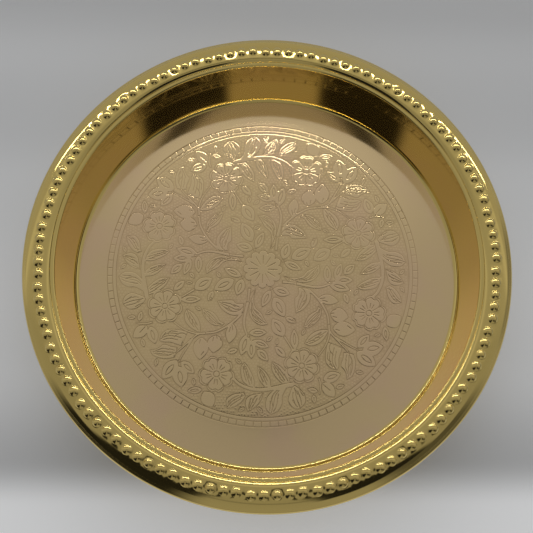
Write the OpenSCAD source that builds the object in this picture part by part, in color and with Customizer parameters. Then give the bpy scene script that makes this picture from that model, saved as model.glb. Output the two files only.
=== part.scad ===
/* [Plate] */
// Outer diameter of the plate over its rolled edge
plate_d = 254; // [200:1:360]
// Height of the flat rim above the table
rim_h = 36.3; // [24:0.1:60]
// Thickness of the brass sheet
sheet_t = 0.8; // [0.6:0.1:1.2]

/* [Well] */
// Slope of the wall, measured from the floor
wall_angle = 84; // [60:1:86]
// Radius inside the well where the floor turns up into the wall
foot_r = 2.4; // [1:0.1:6]
// Radius of the thin ridge at the top of the wall, in the middle of the sheet
ridge_r = 0.8; // [0.75:0.05:1.5]
// Turn of the wall over the ridge, on to the ledge
ledge_turn = 58; // [20:1:60]
// Length of the small ledge between ridge and shoulder
ledge_l = 0.7; // [0.1:0.1:3]
// Radius of the rounded shoulder at the rim's inner edge, in the middle of the sheet
shoulder_r = 1.6; // [0.8:0.1:4]

/* [Rim] */
// Diameter of one pressed bead at its foot
bead_d = 4.8; // [3:0.1:6]
// Height of a bead above the flat rim
bead_h = 1.5; // [1.1:0.1:2.2]
// Plain flat band beside the beads, on the well's side
inner_band = 2.8; // [0.5:0.1:8]
// Plain flat band beside the beads, on the outer side
outer_band = 0.6; // [0.3:0.1:8]
// Number of beads that the tool presses in one stroke
stroke_beads = 5; // [1:1:8]
// Distance from bead to bead within one stroke
bead_pitch = 6.28; // [6.2:0.02:8]
// Least extra distance from one stroke to the next
stroke_gap = 0.8; // [0.2:0.1:4]
// Slant of each stroke across the bead row, as the hand-held tool lay
stroke_slant = 2; // [0:0.5:3]
// Direction of the middle bead of the first stroke
first_bead = 8; // [0:1:15]

/* [Edge] */
// Slope of the outer flange below the flat rim
flange_angle = 34; // [10:1:45]
// Straight length of the outer flange
flange_l = 1.8; // [0.2:0.1:6]
// Radius where the flat rim turns down into the flange, in the middle of the sheet
flange_r = 6; // [2:0.5:10]
// Diameter of the wire inside the rolled edge
wire_d = 2.4; // [1.6:0.1:4]
// Turn of the sheet round the wire
curl_turn = 225; // [180:5:250]
// Gap between the wire and the sheet rolled round it
wire_clearance = 0.05; // [0.02:0.01:0.2]
// Gap between the two cut ends of the wire
wire_end_gap = 1.2; // [0.4:0.1:3]

/* [Hidden] */
// Facets of a full circle, and straight steps in one arc of the section
$fn = 96;
arc_steps = 8;
// The table face lies at height zero, and paths run along the middle of the sheet
plate_r = plate_d / 2;
curl_r = wire_d / 2 + wire_clearance + sheet_t / 2;
band_w = inner_band + bead_d + outer_band;
climb = rim_h - sheet_t;
bead_ball_r = (bead_d * bead_d / 4 + bead_h * bead_h) / (2 * bead_h);
bead_ball_z = rim_h + bead_h - bead_ball_r;

// A path is a list of stretches: [length, 0, 0] is straight, and [0, radius, turn] is an arc,
// which turns up where its turn is positive
function well_path(floor_l, wall_l) = [
    [floor_l, 0, 0],
    [0, foot_r + sheet_t / 2, wall_angle],
    [wall_l, 0, 0],
    [0, ridge_r, -ledge_turn],
    [ledge_l, 0, 0],
    [0, ridge_r, ledge_turn],
    [0, shoulder_r, -wall_angle]
];

flange_path = [
    [band_w, 0, 0],
    [0, flange_r, -flange_angle],
    [flange_l, 0, 0]
];

function rim_path(floor_l, wall_l) =
    concat(well_path(floor_l, wall_l), flange_path, [[0, curl_r, -curl_turn]]);

function heading(path, i) = i == 0 ? 0 : heading(path, i - 1) + path[i - 1][2];

// Point at a share of one stretch, seen from where the stretch begins, and set off to one side of the path
function along(stretch, start, share, side) =
    let (turn = stretch[2], way = start + turn * share, r = stretch[1] * sign(turn))
    [
        stretch[0] * share * cos(start) + r * (sin(way) - sin(start)) - side * sin(way),
        stretch[0] * share * sin(start) - r * (cos(way) - cos(start)) + side * cos(way)
    ];

function path_start(path, i) =
    i == 0 ? [0, sheet_t / 2] : path_start(path, i - 1) + along(path[i - 1], heading(path, i - 1), 1, 0);

function face(path, side) = [
    for (i = [0 : len(path) - 1])
        let (steps = path[i][2] == 0 ? 1 : arc_steps)
            for (k = [(i == 0 ? 0 : 1) : steps])
                path_start(path, i) + along(path[i], heading(path, i), k / steps, side)
];

// The wall is as long as the climb needs, and the floor as wide as the outer edge leaves
bare_path = rim_path(0, 0);
band_start = len(well_path(0, 0));
curl_start = band_start + len(flange_path);
wall_l = (climb + sheet_t / 2 - path_start(bare_path, band_start)[1]) / sin(wall_angle);
narrow_path = rim_path(0, wall_l);
curl_centre = path_start(narrow_path, curl_start)
    + curl_r * [-sin(flange_angle), -cos(flange_angle)];
floor_r = plate_r - curl_r - sheet_t / 2 - curl_centre[0];
path = rim_path(floor_r, wall_l);
wire_r_at = floor_r + curl_centre[0];
wire_z = curl_centre[1];
bead_row_r = floor_r + path_start(narrow_path, band_start)[0] + inner_band + bead_d / 2;
// The strokes share the row evenly, as many as there is room for
strokes = floor(2 * PI * bead_row_r / (stroke_beads * bead_pitch + stroke_gap));
stroke_step = 360 / strokes;
bead_step = bead_pitch / bead_row_r * 180 / PI;

module plate_sheet() {
    top = face(path, sheet_t / 2);
    under = face(path, -sheet_t / 2);
    turned_under = [for (i = [len(under) - 1 : -1 : 0]) under[i]];
    color([0.80, 0.66, 0.30])
    difference() {
        union() {
            rotate_extrude() polygon(concat(top, turned_under));
            at_each_bead() bead_cap();
        }
        at_each_bead() sphere(r = bead_ball_r - sheet_t);
    }
}

module at_each_bead() {
    for (stroke = [0 : strokes - 1], i = [0 : stroke_beads - 1])
        let (place = i - (stroke_beads - 1) / 2)
            rotate(first_bead + stroke * stroke_step + place * bead_step)
                translate([bead_row_r - place * bead_pitch * sin(stroke_slant), 0, bead_ball_z])
                    children();
}

// The part of the ball above the middle of the sheet
module bead_cap() {
    intersection() {
        sphere(r = bead_ball_r);
        translate([0, 0, rim_h - sheet_t / 2 - bead_ball_z])
            cylinder(r = 2 * bead_ball_r, h = 2 * bead_ball_r);
    }
}

module rim_wire() {
    wire_gap_angle = wire_end_gap / wire_r_at * 180 / PI;
    color([0.45, 0.44, 0.42])
    translate([0, 0, wire_z])
        rotate_extrude(angle = 360 - wire_gap_angle)
            translate([wire_r_at, 0])
                circle(d = wire_d);
}

plate_sheet();
rim_wire();
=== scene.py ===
import math

import bmesh
import bpy
import numpy as np
from mathutils import Matrix, Vector, kdtree
from mathutils.geometry import delaunay_2d_cdt


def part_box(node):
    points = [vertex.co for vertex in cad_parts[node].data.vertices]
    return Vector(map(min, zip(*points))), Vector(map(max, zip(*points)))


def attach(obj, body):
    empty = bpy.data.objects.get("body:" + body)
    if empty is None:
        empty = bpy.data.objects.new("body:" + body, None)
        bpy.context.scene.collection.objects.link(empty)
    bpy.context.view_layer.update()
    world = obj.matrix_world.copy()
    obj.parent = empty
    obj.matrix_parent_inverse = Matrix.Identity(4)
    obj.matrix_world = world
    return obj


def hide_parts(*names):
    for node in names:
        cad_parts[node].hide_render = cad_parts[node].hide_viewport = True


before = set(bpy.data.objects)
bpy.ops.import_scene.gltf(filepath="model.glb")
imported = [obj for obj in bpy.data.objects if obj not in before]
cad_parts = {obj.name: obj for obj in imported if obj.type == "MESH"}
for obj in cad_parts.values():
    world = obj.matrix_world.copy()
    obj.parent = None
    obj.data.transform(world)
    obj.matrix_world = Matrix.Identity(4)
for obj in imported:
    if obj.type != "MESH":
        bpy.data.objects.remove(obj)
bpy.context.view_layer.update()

# The camera looks down into the well from the front, a little above the near rim.
# Its place, roll and lens were fitted to the rim, bead row, shoulder and foot of the wall in the photograph.
aim = Vector((-0.00043, 0.00429, 0.0008))
camera_distance = 0.4472
camera_tilt = math.radians(14.65)
camera_turn = math.radians(-0.11)
camera_roll = math.radians(1.97)

backwards = Vector((math.sin(camera_tilt) * math.sin(camera_turn),
                    -math.sin(camera_tilt) * math.cos(camera_turn),
                    math.cos(camera_tilt)))
level_right = Vector((0, 1, 0)).cross(backwards).normalized()
level_up = backwards.cross(level_right)
camera_right = math.cos(camera_roll) * level_right + math.sin(camera_roll) * level_up
camera_up = math.cos(camera_roll) * level_up - math.sin(camera_roll) * level_right

camera = bpy.data.objects.new("camera", bpy.data.cameras.new("camera"))
camera.data.sensor_width = 36
camera.data.lens = 54.03
camera.data.clip_start = 0.01
camera.matrix_world = Matrix.Translation(aim + camera_distance * backwards) @ Matrix(
    (camera_right, camera_up, backwards)).transposed().to_4x4()
bpy.context.scene.collection.objects.link(camera)
bpy.context.scene.camera = camera
bpy.context.scene.view_settings.view_transform = "Standard"


# The plate lies on a pale grey paper, which is a little brighter at its near and far ends: painted light and shade
# in its colour, and a painted glow that only the camera and mirrored rays see.
# Soft studio light comes from behind the plate, and the room's grey walls show in the metal.
class Wire:
    """An output of a node. Arithmetic on it adds Math nodes to its tree."""

    def __init__(self, nodes, socket):
        self.nodes = nodes
        self.socket = socket

    def joined(self, operation, first, second):
        return self.nodes.add("ShaderNodeMath", {"operation": operation}, {0: first, 1: second})

    def __add__(self, other):
        return self.joined("ADD", self, other)

    def __radd__(self, other):
        return self.joined("ADD", other, self)

    def __sub__(self, other):
        return self.joined("SUBTRACT", self, other)

    def __rsub__(self, other):
        return self.joined("SUBTRACT", other, self)

    def __mul__(self, other):
        return self.joined("MULTIPLY", self, other)

    def __rmul__(self, other):
        return self.joined("MULTIPLY", other, self)

    def __truediv__(self, other):
        return self.joined("DIVIDE", self, other)

    def __rtruediv__(self, other):
        return self.joined("DIVIDE", other, self)


class Nodes:
    """Adds nodes to one tree. A socket takes a plain value or a Wire."""

    def __init__(self, tree):
        self.tree = tree

    def add(self, kind, settings=None, sockets=None, output=0):
        node = self.tree.nodes.new(kind)
        for name, value in (settings or {}).items():
            setattr(node, name, value)
        for name, value in (sockets or {}).items():
            if isinstance(value, Wire):
                self.tree.links.new(value.socket, node.inputs[name])
            else:
                node.inputs[name].default_value = value
        return Wire(self, node.outputs[output])

    def math(self, operation, *values):
        return self.add("ShaderNodeMath", {"operation": operation}, dict(enumerate(values)))

    def smooth(self, value, low, high):
        """0 below low and 1 above high, with a soft step between. With low above high, the other way round."""
        lower, upper, ends = (low, high, (0.0, 1.0)) if low < high else (high, low, (1.0, 0.0))
        return self.add("ShaderNodeMapRange", {"interpolation_type": "SMOOTHSTEP"},
                        {"Value": value, 1: lower, 2: upper, 3: ends[0], 4: ends[1]})

    def between(self, value, low, high, soft):
        """1 from low to high and 0 outside, with soft edges of that width."""
        return self.smooth(value, low - soft, low) * self.smooth(value, high + soft, high)

    def mixed(self, factor, first, second):
        """A colour from first to second, by a factor from 0 to 1."""
        return self.add("ShaderNodeMix", {"data_type": "RGBA"}, {0: factor, 6: first, 7: second}, 2)

    def split(self, vector):
        """The x, y and z of a vector."""
        first = self.add("ShaderNodeSeparateXYZ", None, {0: vector})
        return [Wire(self, socket) for socket in first.socket.node.outputs]


def grey(level, warmth=0.0):
    return (level * (1 + warmth), level, level * (1 - warmth), 1)


paper = bpy.data.materials.new("grey_paper")
paper.use_nodes = True
nodes = Nodes(paper.node_tree)
place = nodes.add("ShaderNodeTexCoord", output=3)
across, straight_away, _ = nodes.split(place)
away = straight_away - across * math.tan(camera_roll)
# Painted light and shade: the paper's colour steps lighter and darker from its near end to its far end.
near_painted_light = nodes.smooth(away, -0.040, -0.080) * 0.05 + nodes.smooth(away, -0.105, -0.125) * 0.20
far_painted_light = nodes.smooth(away, 0.070, 0.150) * 0.40 - nodes.smooth(away, -0.030, 0.055) * 0.15
paper_colour = nodes.mixed(near_painted_light + far_painted_light + 0.61, grey(0.0), grey(1.0, -0.018))
# Painted glow: the paper shines for the camera and in what the metal mirrors, though it is no lamp.
seen = nodes.add("ShaderNodeLightPath")
mirrored = nodes.add("ShaderNodeLightPath", output=3)
front_edge = nodes.smooth(away, -0.100, -0.125)
middle = nodes.smooth(away, -0.105, -0.050) * nodes.smooth(away, 0.125, 0.050)
glow = (0.065 + front_edge * 0.19 + middle * 0.12) * nodes.math("MAXIMUM", seen, mirrored)
shader = paper.node_tree.nodes["Principled BSDF"]
paper.node_tree.links.new(paper_colour.socket, shader.inputs["Base Color"])
paper.node_tree.links.new(glow.socket, shader.inputs["Emission Strength"])
shader.inputs["Emission Color"].default_value = grey(1.0, -0.012)
shader.inputs["Roughness"].default_value = 0.7

reach = 3.0
floor_mesh = bpy.data.meshes.new("paper_floor")
floor_mesh.from_pydata([(-reach, -reach, 0), (reach, -reach, 0), (reach, reach, 0), (-reach, reach, 0)], [],
                       [(0, 1, 2, 3)])
floor_mesh.materials.append(paper)
floor = bpy.data.objects.new("paper_floor", floor_mesh)
bpy.context.scene.collection.objects.link(floor)

# Directions in the room are given as the slope of a line from the plate: across and away per unit of height.
room = bpy.data.worlds.new("grey_room")
room.use_nodes = True
bpy.context.scene.world = room
nodes = Nodes(room.node_tree)
direction = nodes.add("ShaderNodeTexCoord", output=0)
x, y, z = nodes.split(direction)
height = nodes.math("MAXIMUM", z, 0.02)
slope_x = x / height
slope_y = y / height
compass = nodes.math("ARCTAN2", y, x)
lean = nodes.math("ARCCOSINE", z)
overhead = 0.36
backdrop = 0.38
room_light = nodes.smooth(lean, math.radians(20), math.radians(85)) * (backdrop - overhead) + overhead
lamp_glow = nodes.smooth(slope_y, 0.25, 0.47) * nodes.smooth(slope_y, 0.70, 0.50) * nodes.smooth(z, 0.02, 0.2) * 0.14
ramp = nodes.smooth(slope_y, -0.05, 0.24) * 0.06 + lamp_glow - 0.05
aside = nodes.math("ABSOLUTE", slope_x)
behind_camera = nodes.between(slope_y, -0.03, 0.02, 0.03) * nodes.smooth(aside, 0.21, 0.14)
dark_compass = nodes.between(compass, math.radians(-143), math.radians(-37), math.radians(7))
dark_sides = nodes.smooth(aside + slope_y * 0.35, -0.06, 0.03) * nodes.between(
    lean, math.radians(22), math.radians(48), math.radians(3))
dark_line = nodes.between(lean, math.radians(34), math.radians(39.4), math.radians(0.8)) * 0.3
near_walls = nodes.math("MAXIMUM", nodes.between(compass, math.radians(-151), math.radians(-118), math.radians(14)),
                        nodes.between(compass, math.radians(-44), math.radians(-26), math.radians(16)) * 0.75)
right_wall = nodes.between(compass, math.radians(5), math.radians(18), math.radians(13)) * 0.5
low_dark = nodes.math("MAXIMUM", near_walls * nodes.between(lean, math.radians(49), math.radians(79), math.radians(2)),
                      right_wall * nodes.smooth(lean, math.radians(66), math.radians(76)))
dark = nodes.math("MAXIMUM", dark_compass * nodes.math("MAXIMUM", dark_sides, dark_line),
                  nodes.math("MAXIMUM", behind_camera, low_dark))
level = (room_light + ramp) * (1 - dark * 0.95)
background = room.node_tree.nodes["Background"]
room.node_tree.links.new(level.socket, background.inputs["Strength"])
background.inputs["Color"].default_value = grey(1.0, 0.01)

strip = bpy.data.lights.new("strip_lamp", "AREA")
strip.shape = "RECTANGLE"
strip.size, strip.size_y = 0.60, 0.012
strip.energy = 0.16
strip.spread = math.radians(120)
strip_lamp = bpy.data.objects.new("strip_lamp", strip)
strip_place, near_rim = Vector((0, 0.185, 0.170)), Vector((0, -0.11, 0.036))
strip_lamp.matrix_world = Matrix.Translation(strip_place) @ (
    strip_place - near_rim).to_track_quat("Z", "Y").to_matrix().to_4x4()
bpy.context.scene.collection.objects.link(strip_lamp)


# The plate is one disc of brass sheet, 0.8 mm thick, pressed and spun into a flat floor, a steep wall with a
# thin ridge and a rounded shoulder, a flat rim, and an outer flange whose edge is rolled round a wire.
# Its beads are struck five at a time with a hand-held tool; the middle one of each five goes deepest.
sheet = 0.0008
rim_height = 0.0363
plate_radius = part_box("plate_sheet")[1].x
wall_angle, ridge_turn, rise_turn, brow_turn = (math.radians(a) for a in (84, 79, 65, 30))
foot_radius, ridge_radius, step_radius, brow_radius, shoulder_radius = 0.0022, 0.0008, 0.0006, 0.0008, 0.0034
ledge = 0.0010
bead_reach, bead_rise = 0.00275, 0.00115
inner_half, outer_band = 0.00345, 0.0006
rim_slope, crown_radius = math.radians(4), 0.04
flange_angle, curl_turn = math.radians(32), math.radians(225)
flange, flange_radius = 0.0015, 0.0113
wire_radius = 0.0012
wire_gap = 0.00005
curl_radius = wire_radius + wire_gap + sheet / 2


def walk(start, way, stretches, side, facets, ripple=None):
    """Points beside a path of (length, radius, turn) stretches that starts in direction way, and its own end.

    A turn is up where it is positive. side sets the points off to the left, and ripple adds to it by the way gone.
    """
    (out, up), gone, points = start, 0.0, []
    for length, radius, turn in stretches:
        span = length if length else radius * abs(turn)
        steps = facets if turn else max(1, round(span / 0.0002)) if ripple and span < 0.002 else 1
        bend = math.copysign(radius, turn)
        for step in range(steps + 1):
            share = step / steps
            now = way + turn * share
            straight = length * share
            x = out + straight * math.cos(way) + (bend * (math.sin(now) - math.sin(way)) if turn else 0)
            y = up + straight * math.sin(way) - (bend * (math.cos(now) - math.cos(way)) if turn else 0)
            off = side + (ripple(gone + span * share) if ripple else 0)
            if step or not points:
                points.append((x - off * math.sin(now), y + off * math.cos(now)))
        out, up, way, gone = x, y, now, gone + span
    return points, (out, up)


def well_path(wall):
    shoulder_turn = wall_angle - ridge_turn + rise_turn - brow_turn - rim_slope
    return [(0, foot_radius + sheet / 2, wall_angle), (wall, 0, 0), (0, ridge_radius, -ridge_turn),
            (ledge, 0, 0), (0, step_radius, rise_turn), (0, brow_radius, -brow_turn),
            (0, shoulder_radius, -shoulder_turn)]


# The rim rises a little to its crown, under the bead row, and the flange falls away from there.
crown_path = [(inner_half / math.cos(rim_slope) - crown_radius * math.tan(rim_slope), 0, 0),
              (0, crown_radius, -rim_slope), (outer_band, 0, 0)]
flange_path = [(0, flange_radius, -flange_angle), (flange, 0, 0)]
curl_path = [(0, curl_radius, -curl_turn)]


def path_end(path, start=0.0):
    """Where a path along the middle of the sheet ends; it starts level with the floor."""
    return walk((start, sheet / 2), 0.0, path, 0.0, 1)[1]


crown_top = path_end(well_path(0) + crown_path)
wall = (rim_height - sheet / 2 - crown_top[1]) / math.sin(wall_angle)
wire_from_foot = (path_end(well_path(wall) + crown_path + flange_path)[0]
                  - curl_radius * math.sin(flange_angle))
floor_radius = plate_radius - curl_radius - sheet / 2 - wire_from_foot
band_foot = path_end(well_path(wall), floor_radius)
band_start = band_foot[0]
bead_row = path_end(well_path(wall) + crown_path[:2], floor_radius)[0]

# The flange keeps a few fine ridges from the spinning tool, just inside the rolled edge.
tool_ridges, tool_ridge_height = 2, 0.00004
straight_from = sum(length if length else radius * abs(turn) for length, radius, turn in crown_path + flange_path[:1])


def tool_marks(gone):
    share = (gone - straight_from) / flange
    return -tool_ridge_height * math.sin(math.pi * tool_ridges * share) ** 2 if 0 < share < 1 else 0.0


medallion_middle = (-0.0024, 0.0026)
medallion_radius = 0.0874
rim_path = crown_path + flange_path + curl_path
rim_top = walk(band_foot, rim_slope, rim_path, sheet / 2, 12, tool_marks)[0]
rim_under = walk(band_foot, rim_slope, rim_path, -sheet / 2, 6)[0]
well_top = walk((floor_radius, sheet / 2), 0.0, well_path(wall), sheet / 2, 9)[0]
well_under = walk((floor_radius, sheet / 2), 0.0, well_path(wall), -sheet / 2, 5)[0]


# The beads' own stretch of the rim, from tile_inner to tile_outer, is made with them further down.
tile_inner, tile_outer = band_start + 0.0001, bead_row + 0.0031


def level_at(face, radius):
    """Height of one face of the rim at a distance from the axis, inside the rolled edge."""
    up_to_edge = [p for p in face if p[0] < plate_radius - 2 * curl_radius]
    return float(np.interp(radius, *zip(*up_to_edge)))


def outside_tile(face):
    beyond = [k for k, p in enumerate(face) if p[0] > tile_outer + 0.0001]
    return [(tile_outer, level_at(face, tile_outer))] + face[beyond[0]:]


well_profile = ([(tile_inner, level_at(rim_top, tile_inner))] + well_top[::-1]
                + [(medallion_radius, sheet), (medallion_radius, 0.0)] + well_under
                + [(tile_inner, level_at(rim_under, tile_inner))])
edge_profile = outside_tile(rim_under) + outside_tile(rim_top)[::-1]


def node_tool(name, inputs):
    """A Geometry Nodes tree with named inputs, as its Nodes, its inputs' Wires and its output socket."""
    tree = bpy.data.node_groups.new(name, "GeometryNodeTree")
    for label, kind in inputs.items():
        tree.interface.new_socket(label, in_out="INPUT", socket_type="NodeSocket" + kind)
    tree.interface.new_socket("Geometry", in_out="OUTPUT", socket_type="NodeSocketGeometry")
    entry = tree.nodes.new("NodeGroupInput")
    end = tree.nodes.new("NodeGroupOutput")
    made = Nodes(tree)
    return made, {label: Wire(made, entry.outputs[label]) for label in inputs}, end.inputs[0]


def made_by(tool, name, mesh, values):
    """A plain mesh object: what the tree makes of the mesh, with these values on its named inputs."""
    start = bpy.data.objects.new(name + "_start", mesh)
    bpy.context.scene.collection.objects.link(start)
    modifier = start.modifiers.new(name, "NODES")
    modifier.node_group = tool.tree
    for socket in tool.tree.interface.items_tree:
        if socket.in_out == "INPUT" and socket.name in values:
            modifier[socket.identifier] = values[socket.name]
    ready = start.evaluated_get(bpy.context.evaluated_depsgraph_get())
    piece = bpy.data.objects.new(name, bpy.data.meshes.new_from_object(ready))
    bpy.data.objects.remove(start)
    bpy.context.scene.collection.objects.link(piece)
    return piece


def plain_mesh(name, points, edges=(), faces=()):
    mesh = bpy.data.meshes.new(name)
    mesh.from_pydata([tuple(p) for p in points], edges, faces)
    mesh.validate()
    return mesh


def profile_mesh(name, profile):
    points = [(out, 0, up) for out, up in profile]
    return plain_mesh(name, points, [(i, i + 1) for i in range(len(points) - 1)])


strokes, stroke_beads = 23, 5
beads = strokes * stroke_beads
bead_pitch, stroke_slant = 0.00628, math.radians(2)
first_bead = math.radians(8)
bead_step = bead_pitch / bead_row
tile_step = 2 * math.pi / beads
arc_parts, side_parts = 4, 6
segments = beads * arc_parts

# Turning: a grid is wrapped round the axis, and each of its columns takes one point of the profile.
turning, given, finished = node_tool("turning", {
    "Geometry": "Geometry", "Profile points": "Int", "Segments": "Int", "First angle": "Float"})
rows = given["Segments"] + 1
grid = turning.add("GeometryNodeMeshGrid", None, {
    "Size X": 1.0, "Size Y": 1.0, "Vertices X": given["Profile points"], "Vertices Y": rows})
grid_x, grid_y, _ = turning.split(turning.add("GeometryNodeInputPosition"))
column = turning.math("ROUND", (grid_x + 0.5) * (given["Profile points"] - 1))
angle = (grid_y + 0.5) * (2 * math.pi) + given["First angle"]
profile_point = turning.add("GeometryNodeSampleIndex", {"data_type": "FLOAT_VECTOR"}, {
    "Geometry": given["Geometry"], "Index": column, "Value": turning.add("GeometryNodeInputPosition")})
out, _, up = turning.split(profile_point)
place = turning.add("ShaderNodeCombineXYZ", None, {
    0: out * turning.math("COSINE", angle), 1: out * turning.math("SINE", angle), 2: up})
turned = turning.add("GeometryNodeSetPosition", None, {"Geometry": grid, "Position": place})
closed = turning.add("GeometryNodeMergeByDistance", None, {"Geometry": turned, "Distance": 1e-7})
turning.tree.links.new(turning.add("GeometryNodeRealizeInstances", None, {0: closed}).socket, finished)


def turned_piece(name, profile):
    return made_by(turning, name, profile_mesh(name, profile), {
        "Profile points": len(profile), "Segments": segments,
        "First angle": first_bead - tile_step / 2})


def bead_rings(reach, rise, fillet, ringed=False):
    """Distance from a bead's middle, and height, of the rings that make it: the ball, then a wide fillet."""
    both_radii = (reach ** 2 + rise ** 2) / (2 * rise)
    ball_radius = both_radii - fillet
    tilt = math.asin(reach / both_radii)
    ball_facets, fillet_facets = 6, 4
    ball = [(ball_radius * math.sin(a), rise - ball_radius + ball_radius * math.cos(a))
            for a in (tilt * k / ball_facets for k in range(ball_facets + 1))]
    hollow = [(reach - fillet * math.sin(a), fillet - fillet * math.cos(a))
              for a in (tilt * k / fillet_facets for k in range(fillet_facets - 1, -1, -1))]
    ring = [(reach + 0.00013, -0.00003), (reach + 0.00026, 0.0)] if ringed else []
    return ball + hollow + ring


def polar(radius, turn, height):
    return Vector((radius * math.cos(turn), radius * math.sin(turn), height))


def add_bead(bm, place_in_stroke, face, rings, spokes, face_up):
    """One bead with the sheet round it, out to the lines half way to its neighbours."""
    turn = place_in_stroke * tile_step
    shift = place_in_stroke * (bead_step - tile_step)
    row = bead_row - place_in_stroke * bead_pitch * math.sin(stroke_slant)
    middle = polar(row, turn + shift, level_at(face, row))
    radii = [tile_inner + (tile_outer - tile_inner) * k / side_parts for k in range(side_parts + 1)]
    turns = [turn + tile_step * (k / arc_parts - 0.5) for k in range(arc_parts + 1)]
    places = ([(r, turns[0]) for r in radii] + [(tile_outer, t) for t in turns[1:-1]]
              + [(r, turns[-1]) for r in reversed(radii)] + [(tile_inner, t) for t in reversed(turns[1:-1])])
    border = [polar(r, t, level_at(face, r)) for r, t in places]
    ways = [math.atan2(p.y - middle.y, p.x - middle.x) for p in border]
    start = ways[0]
    ways = [(w - start) % (2 * math.pi) for w in ways]
    outline = [bm.verts.new(p) for p in border]

    def on_bead(distance, angle, rise):
        """The bead stands level on its middle, and its foot follows the rim."""
        spot = middle + Vector((distance * math.cos(angle), distance * math.sin(angle), 0))
        follow = min(1.0, (distance / bead_reach) ** 2)
        spot.z += rise + follow * (level_at(face, math.hypot(spot.x, spot.y)) - middle.z)
        return bm.verts.new(spot)

    pole = on_bead(0.0, 0.0, rings[0][1])
    loops = [[on_bead(d, start + 2 * math.pi * k / spokes, rise) for k in range(spokes)] for d, rise in rings[1:]]
    faces = [(pole, loops[0][k], loops[0][(k + 1) % spokes]) for k in range(spokes)]
    for inner, outer in zip(loops, loops[1:]):
        faces += [(inner[k], outer[k], outer[(k + 1) % spokes], inner[(k + 1) % spokes]) for k in range(spokes)]
    spoke, corner, last = 0, 0, loops[-1]
    while spoke < spokes or corner < len(outline):
        next_spoke = 2 * math.pi * (spoke + 1) / spokes
        next_corner = ways[corner + 1] if corner + 1 < len(ways) else 2 * math.pi
        if corner == len(outline) or (spoke < spokes and next_spoke <= next_corner):
            faces.append((last[spoke % spokes], outline[corner % len(outline)], last[(spoke + 1) % spokes]))
            spoke += 1
        else:
            faces.append((last[spoke % spokes], outline[corner], outline[(corner + 1) % len(outline)]))
            corner += 1
    for corners in faces:
        bm.faces.new(corners if face_up else corners[::-1])


foot_fillet = 0.0005
light_stroke = 0.0001
ring_inset = 0.00015
top_spokes, under_spokes = 28, 16
bm = bmesh.new()
for k in range(stroke_beads):
    number = k - (stroke_beads - 1) / 2
    deepest = number == 0
    rise = bead_rise - (0 if deepest else light_stroke)
    reach = bead_reach - (ring_inset if deepest else 0)
    add_bead(bm, number, rim_top, bead_rings(reach, rise, foot_fillet, deepest), top_spokes, True)
    hollow = bead_rings(reach, rise - 0.0001, foot_fillet + sheet)
    add_bead(bm, number, rim_under, hollow[::2], under_spokes, False)
stroke_mesh = bpy.data.meshes.new("bead_stroke")
bm.to_mesh(stroke_mesh)
bm.free()
stroke = bpy.data.objects.new("bead_stroke", stroke_mesh)
bpy.context.scene.collection.objects.link(stroke)

# Beading: the five-bead stroke is repeated round the rim and joined to the turned sheet on both sides of it.
beading, given, finished = node_tool("beading", {
    "Geometry": "Geometry", "Stroke": "Object", "Strokes": "Int", "First angle": "Float",
    "Material": "Material"})
one_stroke = beading.add("GeometryNodeObjectInfo", None, {"Object": given["Stroke"]}, "Geometry")
points = beading.add("GeometryNodePoints", None, {"Count": given["Strokes"]})
number = beading.add("GeometryNodeInputIndex")
turn = number * (2 * math.pi) / given["Strokes"] + given["First angle"]
axis_turn = beading.add("FunctionNodeAxisAngleToRotation", None, {"Axis": (0, 0, 1), "Angle": turn})
struck = beading.add("GeometryNodeInstanceOnPoints", None, {
    "Points": points, "Instance": one_stroke, "Rotation": axis_turn})
loose = beading.add("GeometryNodeJoinGeometry")
beading.tree.links.new(struck.socket, loose.socket.node.inputs[0])
beading.tree.links.new(given["Geometry"].socket, loose.socket.node.inputs[0])
real = beading.add("GeometryNodeRealizeInstances", None, {0: loose})
joined = beading.add("GeometryNodeMergeByDistance", None, {"Geometry": real, "Distance": 2e-6})
smooth = beading.add("GeometryNodeSetShadeSmooth", None, {0: joined})
painted = beading.add("GeometryNodeSetMaterial", None, {"Geometry": smooth, "Material": given["Material"]})
beading.tree.links.new(painted.socket, finished)

brass = bpy.data.materials.new("lacquered_brass")
brass.use_nodes = True

well_part = turned_piece("well_part", well_profile)
edge_part = turned_piece("edge_part", edge_profile)
bm = bmesh.new()
bm.from_mesh(well_part.data)
bm.from_mesh(edge_part.data)
sheet_mesh = bpy.data.meshes.new("sheet")
bm.to_mesh(sheet_mesh)
bm.free()
for spent in (well_part, edge_part):
    bpy.data.objects.remove(spent)
rim = made_by(beading, "well_and_rim", sheet_mesh, {
    "Stroke": stroke, "Strokes": strokes, "First angle": first_bead, "Material": brass})
bpy.data.objects.remove(stroke)

# The inner edge of this piece is the circle of the engraved floor, which was struck a little off the middle.
seam_step = 2 * math.pi / segments
for vertex in rim.data.vertices:
    if math.hypot(vertex.co.x, vertex.co.y) < medallion_radius + 1e-5:
        turn = round(math.atan2(vertex.co.y, vertex.co.x) / seam_step) * seam_step
        vertex.co.x = medallion_middle[0] + medallion_radius * math.cos(turn)
        vertex.co.y = medallion_middle[1] + medallion_radius * math.sin(turn)


def faced(piece):
    """Turns all faces outwards, shades them smooth, and keeps only the edges of over 50 degrees sharp."""
    bm = bmesh.new()
    bm.from_mesh(piece.data)
    bmesh.ops.recalc_face_normals(bm, faces=bm.faces)
    if bm.calc_volume(signed=True) < 0:
        bmesh.ops.reverse_faces(bm, faces=bm.faces)
    bm.to_mesh(piece.data)
    bm.free()
    piece.data.shade_smooth()
    piece.data.set_sharp_from_angle(angle=math.radians(50))


faced(rim)
print("rim", len(rim.data.vertices), sum(len(p.vertices) - 2 for p in rim.data.polygons))
bm = bmesh.new()
bm.from_mesh(rim.data)
print("open edges", sum(1 for e in bm.edges if len(e.link_faces) != 2), "volume mm3", bm.calc_volume() * 1e9)
bm.free()
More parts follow.
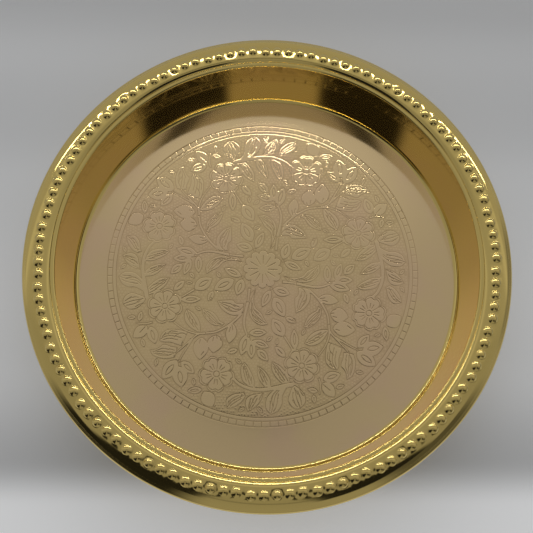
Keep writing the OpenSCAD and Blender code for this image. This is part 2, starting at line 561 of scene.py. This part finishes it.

# Brass: greenish gold on the spun wall and rim, paler on the polished floor, and duller down in the grooves. The
# grooves and the pebbled ground are painted darker brown the deeper they are pressed: painted shade.
# The lathe left fine lines on the wall, and the sheet is not quite flat, which bends what it mirrors.
nodes = Nodes(brass.node_tree)
spot = nodes.add("ShaderNodeTexCoord", output=3)
spot_x, spot_y, spot_z = nodes.split(spot)
from_axis = nodes.math("SQRT", spot_x * spot_x + spot_y * spot_y)
worked = nodes.add("ShaderNodeAttribute", {"attribute_name": "worked"}, output=2)
on_floor = nodes.smooth(from_axis, floor_radius + 0.0004, floor_radius - 0.0004) * nodes.smooth(
    spot_z, 0.0014, 0.0010)
clouds = nodes.add("ShaderNodeTexNoise", None, {"Vector": spot, "Scale": 22.0, "Detail": 3.0})
wall_gold, floor_gold = (0.78, 0.59, 0.175, 1), (0.86, 0.645, 0.335, 1)
pink_gold, groove_painted_shade = (0.86, 0.61, 0.37, 1), (0.26, 0.17, 0.08, 1)
gold = nodes.mixed(on_floor, wall_gold, floor_gold)
gold = nodes.mixed(nodes.smooth(clouds, 0.42, 0.62) * on_floor * 0.7, gold, pink_gold)
# Painted shade: darker brown the deeper the grooves and the pebbled ground are pressed.
gold = nodes.mixed(nodes.smooth(worked, 0.25, 1.05) * 0.65, gold, groove_painted_shade)
roughness = 0.07 + clouds * 0.04 + nodes.smooth(worked, 0.3, 1.1) * 0.22
lacquer = 0.8 - nodes.smooth(worked, 0.0, 0.5) * 0.7
lathe = nodes.add("ShaderNodeTexNoise", {"noise_dimensions": "1D"},
                  {"W": from_axis + spot_z, "Scale": 1100.0, "Detail": 3.0})
dents = nodes.add("ShaderNodeTexNoise", None, {"Vector": spot, "Scale": 160.0, "Detail": 1.0})
on_wall = nodes.between(spot_z, 0.004, 0.032, 0.001)
low_down = nodes.smooth(spot_z, 0.020, 0.008)
surface = lathe * (0.0000008 + on_wall * 0.0000035) + dents * (0.0000015 + low_down * 0.0000045)
bump = nodes.add("ShaderNodeBump", None, {"Strength": 1.0, "Distance": 1.0, "Height": surface})
shader = brass.node_tree.nodes["Principled BSDF"]
for name, wire in (("Base Color", gold), ("Roughness", roughness), ("Coat Weight", lacquer), ("Normal", bump)):
    brass.node_tree.links.new(wire.socket, shader.inputs[name])
shader.inputs["Metallic"].default_value = 1.0
shader.inputs["Coat Roughness"].default_value = 0.06

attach(rim, "root")
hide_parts("plate_sheet")


# The middle of the floor carries a medallion of leaves, flowers and fine pebbles inside two rings, pressed in as
# shallow grooves. It repeats every quarter turn. Each quarter is a piece of its own, cut from the same sheet.
# Its drawing is in millimetres from the middle of the medallion, x to the right and y away from the viewer.
mm = 0.001


def smoothed(points, closed=False, step=0.7):
    """A curve through the points, with a new point about every step."""
    spots = [Vector(p) for p in points]
    count = len(spots)

    def at(i):
        if closed:
            return spots[i % count]
        return spots[i] if 0 <= i < count else 2 * spots[0] - spots[1] if i < 0 else 2 * spots[-1] - spots[-2]

    curve = []
    for i in range(count if closed else count - 1):
        a, b, c, d = (at(i + k) for k in (-1, 0, 1, 2))
        parts = max(1, round((c - b).length / step))
        curve += [0.5 * (2 * b + (c - a) * t + (2 * a - 5 * b + 4 * c - d) * t * t + (3 * b - a - 3 * c + d) * t ** 3)
                  for t in (k / parts for k in range(parts))]
    return curve if closed else curve + [spots[-1]]


def almond(base, tip, width, step=0.7):
    """A plain leaf's outline."""
    base, tip = Vector(base), Vector(tip)
    line = tip - base
    side = Vector((-line.y, line.x)).normalized() * width / 2
    parts = max(6, round(line.length / step))
    edges = [[base + line * (k / parts) + sign * side * math.sin(math.pi * (k / parts) ** 0.9) ** 0.8
              for k in range(parts + 1)] for sign in (1, -1)]
    return edges[0] + edges[1][-2:0:-1]


def curved_leaf(first, second):
    """A leaf's outline from its two edges, each from the stem to the tip."""
    one, two = smoothed(first), smoothed(second)
    return one + two[-2::-1] if (one[-1] - two[-1]).length < 0.01 else one + two[::-1]


def feather(first, second, share, start, end):
    """A stroke inside a curved leaf, at a share of the way from its first edge to its second."""
    edges = [smoothed(edge) for edge in (first, second)]
    spots = []
    for k in range(6):
        gone = start + (end - start) * k / 5
        one, two = (edge[round(gone * (len(edge) - 1))] for edge in edges)
        spots.append(one.lerp(two, share))
    return smoothed(spots)


def stem(points, width):
    """The outline of a stem along a curve; it gets thinner towards its end."""
    curve = smoothed(points)
    sides = ([], [])
    for i, p in enumerate(curve):
        way = (curve[min(i + 1, len(curve) - 1)] - curve[max(i - 1, 0)]).normalized()
        half = width / 2 * (1 - 0.4 * i / len(curve)) * Vector((-way.y, way.x))
        sides[0].append(p + half)
        sides[1].append(p - half)
    return sides[0] + sides[1][::-1]


def around(middle, radius, angle):
    return Vector((middle[0] + radius * math.cos(angle), middle[1] + radius * math.sin(angle)))


def circle(middle, radius, step=0.6):
    count = max(8, 4 * round(math.pi * radius / step / 2))
    return [around(middle, radius, 2 * math.pi * k / count) for k in range(count)]


def blossom(middle, radius, petals, first, dip, notch):
    """A flower's outline. dip is its least radius between two petals, and notch the dent in each petal's end."""
    loop, parts = [], petals * 20
    for k in range(parts):
        bulge = abs(math.sin(math.pi * petals * k / parts))
        end = 1 - notch * max(0.0, (bulge - 0.9) / 0.1) ** 1.5
        loop.append(around(middle, radius * end * (dip + (1 - dip) * bulge ** 0.45), first + 2 * math.pi * k / parts))
    return loop


def rays(middle, count, first, inner, outer):
    """Short lines which all point away from the middle."""
    return [[around(middle, r, first + 2 * math.pi * k / count) for r in (inner, (inner + outer) / 2, outer)]
            for k in range(count)]


plain_leaves = [((11.2, 6), (13.8, 15.6), 4.8), ((15.8, 6.6), (26.8, 12.8), 6), ((11.8, 4.6), (21.6, 0.3), 4),
                ((1.5, 45.2), (-4.6, 51.3), 4), ((5, 40.3), (4.5, 50.5), 4.2), ((7, 37), (10.2, 48.8), 5),
                ((4.5, 40.6), (-5, 43.8), 3.8), ((6.5, 36.4), (-3.5, 35.7), 3.8), ((37.5, 12.8), (28, 6.1), 6),
                ((44.7, 19), (33.3, 18.2), 3.8), ((43.6, 55.8), (41.3, 67.2), 6.8), ((44.6, 52.6), (52, 63), 6.5),
                ((42.5, 53.2), (35, 59.5), 4.5), ((60.6, 34.5), (57, 44), 5), ((30.2, 68), (38.3, 69), 3.2)]
dashed_leaves = [((62, 34.5), (69.5, 41), 5.5), ((29.5, 69), (24, 77), 6.5), ((15.3, 31.5), (17, 42.5), 5),
                 ((24, 38), (25.5, 48), 7), ((32, 39.5), (32.5, 52), 7)]
curved_leaves = [
    ([(6.9, 20.5), (6.7, 25), (5.5, 28), (3, 30.5), (0, 31.9), (-4, 31.3)],
     [(3.7, 11.7), (4.3, 15), (4.3, 19), (3, 22.3), (0, 25), (-1.8, 28.3), (-4, 31.3)]),
    ([(10, 25.2), (13.5, 26.8), (17, 26.6), (20, 25), (22.5, 22.7), (24.5, 19)],
     [(9.8, 19.8), (12, 20.2), (14.5, 19.8), (16, 18.3), (20, 18.4), (24.5, 19)]),
    ([(21.3, 33), (26, 32.6), (30, 29.6), (32.4, 26), (32, 23.5)],
     [(20, 31.3), (22.5, 30.3), (24, 28), (26, 25.8), (29, 24.4), (32, 23.5)]),
    ([(34, 37), (36, 36), (39, 34), (41.5, 31), (42.3, 27), (41, 24)],
     [(33, 36.5), (33.2, 33), (34.5, 29.5), (37, 26.5), (41, 24)]),
    ([(46, 51), (50, 52), (54, 51.8), (58, 50.3), (60, 47.4)],
     [(45, 45.5), (48, 45.3), (51, 44.3), (53, 44.3), (54.5, 45.7), (57, 47), (60, 47.4)]),
    ([(40, 37), (42, 36.3), (46, 35.7), (51, 36), (54, 38.5), (55, 42)],
     [(42.5, 44.8), (46, 43.8), (49, 43), (53, 43), (55, 42)]),
    ([(65, 18), (68, 17), (72, 16), (75, 17.5), (76.5, 20), (76.3, 22.5)],
     [(64, 19.5), (66, 22.3), (69, 24.8), (73, 25.2), (76.3, 22.5)]),
    ([(65, 15.5), (67.5, 14), (70.5, 12.8), (74, 12.8), (77.8, 11), (80, 7)],
     [(66.5, 8.5), (69, 6), (72, 4.3), (77, 4.3), (80, 7)]),
    ([(4, 70), (6, 71.5), (6.8, 73.5), (6.6, 76), (5.3, 79)],
     [(-2.5, 68.5), (-1.5, 72.5), (1, 76), (5.3, 79)]),
    ([(7, 70.5), (7.5, 72), (9, 74), (12.5, 76.5), (16.5, 77.5)],
     [(8, 68.3), (9, 69), (13, 69.7), (16, 71.5), (17.2, 73.5), (16.5, 77.5)]),
    ([(63.5, 12.5), (60, 9), (56, 6.8), (51.5, 6.8)], [(62.5, 17), (58, 15), (54, 11.5), (51.5, 6.8)]),
    ([(65.5, 3.2), (62, 0.3), (58, -1), (54, -1)], [(65.3, 6.5), (61, 5.8), (57, 3), (54, -1)]),
    ([(6, 65), (8.5, 63), (9.8, 59), (9.9, 55), (8.3, 52.5)],
     [(2.5, 66), (2.6, 62), (4.2, 58), (6.3, 54.5), (8.3, 52.5)])]
stems = [([(7.6, 19), (8.6, 24), (9.3, 29), (9, 33), (7.6, 37), (6.8, 40)], 1.8),
         ([(11, 25.8), (14, 29.3), (17.5, 32.3), (21, 34.6), (25, 36.5), (30, 37.3), (34, 38), (38, 41.3),
           (42, 45.3), (46, 49)], 1.5),
         ([(30, 37.3), (36, 37.5), (41, 36), (44.5, 34), (48, 31.5)], 1.3),
         ([(37, 40.5), (39.5, 45), (42, 49.5), (43.5, 53)], 1.3), ([(37.5, 13), (42.5, 16.3), (47, 19)], 1.3),
         ([(63.5, 18.5), (64.5, 14), (65.7, 9), (66.7, 4), (67, 0), (66.5, -5), (64, -11), (60, -15)], 2.6),
         ([(59.5, 32.2), (62, 33), (65, 33.2), (68.5, 32.8)], 1.2), ([(7, 11), (7.3, 15), (7.6, 19)], 1.6)]
veins = [[(0, 30.8), (3.5, 29), (5.3, 25), (5.5, 19)], [(1.2, 28.6), (3, 27.4), (4.7, 26)],
         [(1.2, 25.5), (4.3, 23)], [(9.8, 21.3), (12, 23.8), (15, 24.7), (18, 24.3), (20.5, 22.5), (22.5, 20.8)],
         [(12, 22.2), (15.5, 20.9)], [(17.3, 23.4), (18.2, 22.5)], [(21.5, 32.4), (24, 31.8)],
         [(26.5, 31.5), (28.2, 30)], [(28.4, 29.5), (28.6, 27)], [(30.2, 28.5), (31.7, 25.8)],
         [(15.3, 35), (15.8, 32.2)], [(17.3, 36.2), (16.6, 33.5)], [(23.6, 40), (24, 38.3)],
         [(26, 41.5), (25.6, 39.3)], [(22, 39.5), (21.6, 41)], [(32, 49.5), (30.5, 47.5)], [(33.2, 43), (32.7, 41)],
         [(36.2, 43.2), (35.2, 41.8)], [(35.5, 33), (36, 31)], [(37.6, 32.5), (37.5, 30)],
         [(39.5, 30), (39.3, 28.3)], [(44.5, 48), (47, 49), (50, 50.3), (54, 50.3), (57, 49.3)],
         [(51.5, 49.2), (53.8, 48)], [(46.5, 47.3), (49.4, 46.6)], [(40.5, 38.5), (42.5, 37.7), (45, 38.3), (47, 40)],
         [(45.5, 37), (48, 36.8), (49.5, 37), (50.5, 38.7)], [(51.8, 37.8), (53.5, 40.2)], [(63.2, 34.8), (66, 38.3)],
         [(64, 21.6), (67, 22.4), (69.5, 24)], [(66.5, 19.8), (68.8, 21)], [(72, 18.3), (74.9, 20.4)],
         [(67, 10), (69.5, 8), (72.5, 7.3), (76, 8)], [(73, 6.4), (77, 6.5)], [(69, 10.6), (71.5, 10.6)],
         [(4.7, 77), (4.2, 73.3)], [(2.5, 74.2), (3, 72.5), (0.5, 70)], [(-0.5, 72.5), (-2, 69)],
         [(9.5, 71.5), (8.7, 69.7)], [(15.4, 75.5), (14.8, 73)], [(13.2, 73.5), (12.8, 72.3)],
         [(54.5, 10.2), (60, 11), (62.5, 13.5)], [(53.5, 8.3), (57.5, 8.8)], [(58.2, 13.5), (62.2, 15.8)],
         [(58.5, 2.9), (61, 2.7)], [(56, 0.5), (59, 0.6), (63, 2.2)], [(3.8, 64), (4.2, 60.5)], [(5.5, 61), (6, 59)],
         [(7, 59.5), (6.6, 57)], [(4.3, 15), (3.7, 12.3), (4.8, 12.6), (6.5, 14.2)]]
dots = [(11, 5), (6.5, 38), (43.5, 53), (28.2, 18.2), (7.8, 55.5)]
flower_a, flower_b = (23, 59.3), (53.3, 22.9)

fullness = 1.2
outlines = [almond(base, tip, width * fullness) for base, tip, width in plain_leaves + dashed_leaves]
outlines += [curved_leaf(*edges) for edges in curved_leaves] + [stem(*way) for way in stems]
double_line = 1.2
outlines += [blossom(flower_a, 9 + double_line, 5, math.radians(52), 0.72, 0.1),
             blossom(flower_b, 8.7 + double_line, 8, 0.2, 0.8, 0)]
rosette = blossom((0, 0), 9.8 + double_line, 12, math.radians(15), 0.8, 0)
inner_lines = [smoothed(line) for line in veins]
inner_lines += [feather(*edges, *place) for edges in curved_leaves
                for place in ((0.3, 0.25, 0.8), (0.5, 0.1, 0.92), (0.7, 0.25, 0.8))]
inner_loops = [almond(Vector(base).lerp(tip, 0.24), Vector(base).lerp(tip, 0.8), width * 0.36)
               for base, tip, width in map(lambda leaf: (leaf[0], Vector(leaf[1]), leaf[2]), plain_leaves)]
inner_loops += [blossom(flower_a, 9, 5, math.radians(52), 0.72, 0.1), blossom(flower_b, 8.7, 8, 0.2, 0.8, 0)]
inner_loops += [circle(flower_a, 1.6), circle(flower_b, 1.5)] + [circle(dot, 0.8) for dot in dots]
inner_lines += rays(flower_a, 5, math.radians(52), 2.6, 6.2) + rays(flower_a, 5, math.radians(78), 3, 5.6)
inner_lines += rays(flower_a, 5, math.radians(98), 3, 5.6) + rays(flower_b, 8, 0.2, 2.4, 6.6)
inner_lines += rays(flower_b, 8, 0.2 + math.pi / 8, 3.2, 5.8)

quarter_turn = math.pi / 2
medallion_reach = medallion_radius / mm
border_rings = (86.6, 83.7, 81.7)
rungs, rung_from, rung_to = 120, 84.1, 86.3


def turned(points, quarters):
    spin = Matrix.Rotation(quarters * quarter_turn, 2)
    return [spin @ Vector(p) for p in points]


def near_quarter(points):
    return any(p.x > -2 and p.y > -2 for p in points)


def inside(point, loop):
    """Whether a point lies within a closed line."""
    odd = False
    for a, b in zip(loop, loop[1:] + loop[:1]):
        if (a.y > point.y) != (b.y > point.y) and point.x < a.x + (b.x - a.x) * (point.y - a.y) / (b.y - a.y):
            odd = not odd
    return odd


shapes = [rosette] + [loop for quarters in range(4) for loop in
                      (turned(outline, quarters) for outline in outlines) if near_quarter(loop)]

# Small leaves fill the bare places, the widest first. Each grows away from the line that is nearest to it.
least_room, look_step = 2.9, 1.3
look = range(int(border_rings[-1] / look_step))
bare = [spot for spot in (Vector((x, y)) * look_step for x in look for y in look)
        if spot.length < border_rings[-1] - least_room and not any(inside(spot, shape) for shape in shapes)]
while True:
    near = kdtree.KDTree(sum(map(len, shapes)))
    for number, p in enumerate(p for shape in shapes for p in shape):
        near.insert((p.x, p.y, 0), number)
    near.balance()
    rooms = [min(near.find((p.x, p.y, 0))[2], border_rings[-1] - p.length) for p in bare]
    room = max(rooms)
    if room < least_room:
        break
    middle = bare[rooms.index(room)]
    line = near.find((middle.x, middle.y, 0))[0].to_2d()
    away_from_line = (middle - line).normalized()
    base, tip = line + away_from_line * 0.6, middle + away_from_line * room * 0.6
    small_leaf = almond(base, tip, room * 0.75)
    inner_lines.append(smoothed([base.lerp(tip, 0.3), base.lerp(tip, 0.7)]))
    shapes += [leaf for leaf in (turned(small_leaf, quarters) for quarters in range(4)) if near_quarter(leaf)]
    bare = [p for p in bare if not inside(p, small_leaf) and p != middle]
boxes = [(min(p.x for p in s), max(p.x for p in s), min(p.y for p in s), max(p.y for p in s)) for s in shapes]
runs = []
for mine, shape in enumerate(shapes):
    hidden = [any(box[0] < p.x < box[1] and box[2] < p.y < box[3] and inside(p, other)
                  for other, box in zip(shapes, boxes) if other is not shape) for p in shape]
    if not any(hidden):
        runs.append((shape, True))
        continue
    start = hidden.index(True)
    run = []
    for k in range(start, start + len(shape) + 1):
        if hidden[k % len(shape)]:
            if len(run) > 1:
                runs.append((run, False))
            run = []
        else:
            run.append(shape[k % len(shape)])
runs += [(line, False) for quarters in range(4) for line in (turned(v, quarters) for v in inner_lines)
         if near_quarter(line)]
runs += [(loop, True) for quarters in range(4) for loop in (turned(v, quarters) for v in inner_loops)
         if near_quarter(loop)]
runs += [(line, False) for line in rays((0, 0), 12, 0, 3, 8) if near_quarter(line)]
runs += [([around((0, 0), radius, quarter_turn * k / 180) for k in range(-3, 184)], False) for radius in border_rings]
runs += [(smoothed([around((0, 0), r, quarter_turn * (k + 0.5) / (rungs / 4)) for r in (rung_from, rung_to)]), False)
         for k in range(rungs // 4)]
print("runs", len(runs), "points", sum(len(r[0]) for r in runs))


def beside(points, closed, distance):
    """The two lines at a distance from a closed line, or the one loop round an open line."""
    count = len(points)
    ways = [(points[(i + 1) % count if closed else min(i + 1, count - 1)]
             - points[(i - 1) % count if closed else max(i - 1, 0)]).normalized() * distance for i in range(count)]
    left, right = ([p + sign * Vector((-way.y, way.x)) for p, way in zip(points, ways)] for sign in (1, -1))
    if closed:
        return [left, right]
    caps = [[tip + Matrix.Rotation(math.radians(a), 2) @ way for a in (45, 0, -45)]
            for tip, way in ((points[-1], ways[-1]), (points[0], -ways[0]))]
    return [left + caps[0] + right[::-1] + caps[1]]


line_width, line_depth = 0.80, 0.06
pebble_step, pebble_width, ground_depth = 1.7, 1.55, 0.028
ground_reach = border_rings[-1]
spots, links = [], []


def draw(points, closed):
    first = len(spots)
    spots.extend(points)
    links.extend((k, k + 1) for k in range(first, len(spots) - 1))
    if closed:
        links.append((len(spots) - 1, first))


line_spots = kdtree.KDTree(sum(len(points) for points, _ in runs))
for number, p in enumerate(p for points, _ in runs for p in points):
    line_spots.insert((p.x, p.y, 0), number)
line_spots.balance()
random = np.random.default_rng(5)
pebbles = []
row_step = 0.88
for row in range(int(ground_reach / pebble_step / row_step)):
    for column in range(int(ground_reach / pebble_step)):
        p = Vector((column + 0.5 + row % 2 * 0.5, (row + 0.5) * row_step))
        p = (p + Vector(random.uniform(-0.12, 0.12, 2))) * pebble_step
        if p.length < ground_reach - 0.8 and line_spots.find((p.x, p.y, 0))[2] > 0.72:
            if not any(box[0] < p.x < box[1] and box[2] < p.y < box[3] and inside(p, shape)
                       for shape, box in zip(shapes, boxes)):
                pebbles.append(p)

arc = [around((0, 0), medallion_reach, quarter_turn * k / (segments // 4)) for k in range(segments // 4 + 1)]
draw([Vector((0, 0))] + arc, True)
for points, closed in runs:
    draw(points, closed)
    for share in (0.5, 1, 1.3):
        for line in beside(points, closed, line_width / 2 * share):
            draw(line, True)
for p in pebbles:
    spots.append(p)
    for radius, count, first in ((0.55, 6, 0), (1, 8, 0.4)):
        spots.extend(around(p, radius * pebble_width / 2, first + 2 * math.pi * k / count) for k in range(count))
import time
t0 = time.time()
corners, _, triangles, _, _, _ = delaunay_2d_cdt(spots, links, [], 0, 1e-3, False)
print("cdt", len(spots), len(links), len(corners), len(triangles), time.time() - t0)

bm = bmesh.new()
made = {}
for triangle in triangles:
    middle = sum((corners[k] for k in triangle), Vector((0, 0))) / 3
    if middle.x > 0 and middle.y > 0 and middle.length < medallion_reach:
        for k in triangle:
            if k not in made:
                made[k] = bm.verts.new((corners[k].x * mm, corners[k].y * mm, sheet))
        bm.faces.new([made[k] for k in triangle])
border = [edge for edge in bm.edges if len(edge.link_faces) == 1]
lowered = bmesh.ops.extrude_edge_only(bm, edges=border)["geom"]
for corner in lowered:
    if isinstance(corner, bmesh.types.BMVert):
        corner.co.z = 0
bmesh.ops.holes_fill(bm, edges=[edge for edge in lowered if isinstance(edge, bmesh.types.BMEdge)], sides=0)
bmesh.ops.recalc_face_normals(bm, faces=bm.faces)
quarter_mesh = bpy.data.meshes.new("quarter")
bm.to_mesh(quarter_mesh)
print("quarter open", sum(1 for e in bm.edges if len(e.link_faces) != 2), "tris", sum(len(f.verts) - 2 for f in bm.faces))
bm.free()


def guide(name, lines=(), loops=(), points=()):
    """An object in metres that the engraving measures its distances from."""
    spots = [p for points_, _ in lines for p in points_] + [p for loop in loops for p in loop] + list(points)
    edges, faces, first = [], [], 0
    for points_, closed in lines:
        edges += [(first + k, first + k + 1) for k in range(len(points_) - 1)]
        edges += [(first + len(points_) - 1, first)] if closed else []
        first += len(points_)
    for loop in loops:
        faces.append(tuple(range(first, first + len(loop))))
        first += len(loop)
    made = bpy.data.objects.new(name, plain_mesh(name, [(p.x * mm, p.y * mm, sheet) for p in spots], edges, faces))
    bpy.context.scene.collection.objects.link(made)
    return made


guides = {"Lines": guide("engraved_lines", lines=runs), "Leaves": guide("plain_leaves", loops=shapes),
          "Pebbles": guide("pebbles", points=pebbles)}

# Engraving: the sheet's face goes down at each line, and round each pebble where no leaf or flower is.
engraving, given, finished = node_tool("engraving", {
    "Geometry": "Geometry", "Lines": "Object", "Leaves": "Object", "Pebbles": "Object", "Line width": "Float",
    "Line depth": "Float", "Pebble width": "Float", "Ground depth": "Float", "Ground reach": "Float",
    "Middle": "Vector", "Turn": "Float", "Material": "Material"})


def distance_to(guide_name, element):
    target = engraving.add("GeometryNodeObjectInfo", None, {"Object": given[guide_name]}, "Geometry")
    return engraving.add("GeometryNodeProximity", {"target_element": element}, {0: target}, "Distance")


def swell(distance, reach):
    return engraving.add("ShaderNodeMapRange", {"interpolation_type": "SMOOTHSTEP"},
                         {"Value": distance, 1: 0.0, 2: reach, 3: 1.0, 4: 0.0})


spot = engraving.add("GeometryNodeInputPosition")
_, _, spot_height = engraving.split(spot)
level = engraving.add("ShaderNodeVectorMath", {"operation": "MULTIPLY"}, {0: spot, 1: (1, 1, 0)})
from_middle = engraving.add("ShaderNodeVectorMath", {"operation": "LENGTH"}, {0: level}, "Value")
groove = swell(distance_to("Lines", "EDGES"), given["Line width"] / 2)
pebble = swell(distance_to("Pebbles", "POINTS"), given["Pebble width"] / 2)
on_ground = engraving.math("GREATER_THAN", distance_to("Leaves", "FACES"), 1e-5) * engraving.math(
    "LESS_THAN", from_middle, given["Ground reach"])
strike = engraving.add("ShaderNodeTexNoise", {"noise_dimensions": "4D"},
                       {"Vector": spot, "W": given["Turn"], "Scale": 45.0, "Detail": 1.0})
depth = engraving.math("MAXIMUM", groove * given["Line depth"], (1 - pebble) * on_ground * given["Ground depth"])
struck_depth = depth * (strike * 1.0 + 0.5)
on_top = engraving.math("GREATER_THAN", spot_height, sheet / 2)
noted = engraving.add("GeometryNodeStoreNamedAttribute", {"data_type": "FLOAT", "domain": "POINT"}, {
    "Geometry": given["Geometry"], "Name": "worked", "Value": struck_depth * on_top / given["Line depth"]})
pressed = engraving.add("GeometryNodeSetPosition", None, {
    "Geometry": noted, "Selection": on_top,
    "Offset": engraving.add("ShaderNodeCombineXYZ", None, {2: 0 - struck_depth})})
spun = engraving.add("GeometryNodeTransform", None, {
    "Geometry": pressed, "Translation": given["Middle"],
    "Rotation": engraving.add("FunctionNodeAxisAngleToRotation", None, {"Axis": (0, 0, 1), "Angle": given["Turn"]})})
real = engraving.add("GeometryNodeRealizeInstances", None, {0: spun})
painted = engraving.add("GeometryNodeSetMaterial", None, {"Geometry": real, "Material": given["Material"]})
engraving.tree.links.new(painted.socket, finished)

for quarters, name in enumerate(("back_right", "back_left", "front_left", "front_right")):
    quarter = made_by(engraving, "engraved_floor_" + name, quarter_mesh, guides | {
        "Line width": line_width * mm, "Line depth": line_depth * mm, "Pebble width": pebble_width * mm,
        "Ground depth": ground_depth * mm, "Ground reach": ground_reach * mm,
        "Middle": (*medallion_middle, 0), "Turn": quarters * quarter_turn, "Material": brass})
    faced(quarter)
    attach(quarter, "root")
    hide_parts("plate_sheet")
for spent in guides.values():
    bpy.data.objects.remove(spent)

# The wire inside the rolled edge is drawn steel, bent to a ring and left open by a millimetre at its ends.
# It shows only in the narrow gap where the rolled sheet ends, under the rim.
steel = bpy.data.materials.new("drawn_steel")
steel.use_nodes = True
nodes = Nodes(steel.node_tree)
spot = nodes.add("ShaderNodeTexCoord", output=3)
rust = nodes.add("ShaderNodeTexNoise", None, {"Vector": spot, "Scale": 90.0, "Detail": 4.0})
spot_x, spot_y, spot_z = nodes.split(spot)
from_axis = nodes.math("SQRT", spot_x * spot_x + spot_y * spot_y)
die_lines = nodes.add("ShaderNodeTexNoise", {"noise_dimensions": "1D"},
                      {"W": from_axis + spot_z, "Scale": 6000.0, "Detail": 2.0})
steel_grey, rust_brown = (0.46, 0.45, 0.43, 1), (0.26, 0.17, 0.11, 1)
rusted = nodes.smooth(rust, 0.55, 0.72) * 0.6
bump = nodes.add("ShaderNodeBump", None, {"Strength": 1.0, "Distance": 1.0, "Height": die_lines * 0.000004})
shader = steel.node_tree.nodes["Principled BSDF"]
for name, wire in (("Base Color", nodes.mixed(rusted, steel_grey, rust_brown)),
                   ("Roughness", 0.32 + rusted * 0.6), ("Metallic", 1 - rusted), ("Normal", bump)):
    steel.node_tree.links.new(wire.socket, shader.inputs[name])
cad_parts["rim_wire"].data.materials.clear()
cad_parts["rim_wire"].data.materials.append(steel)
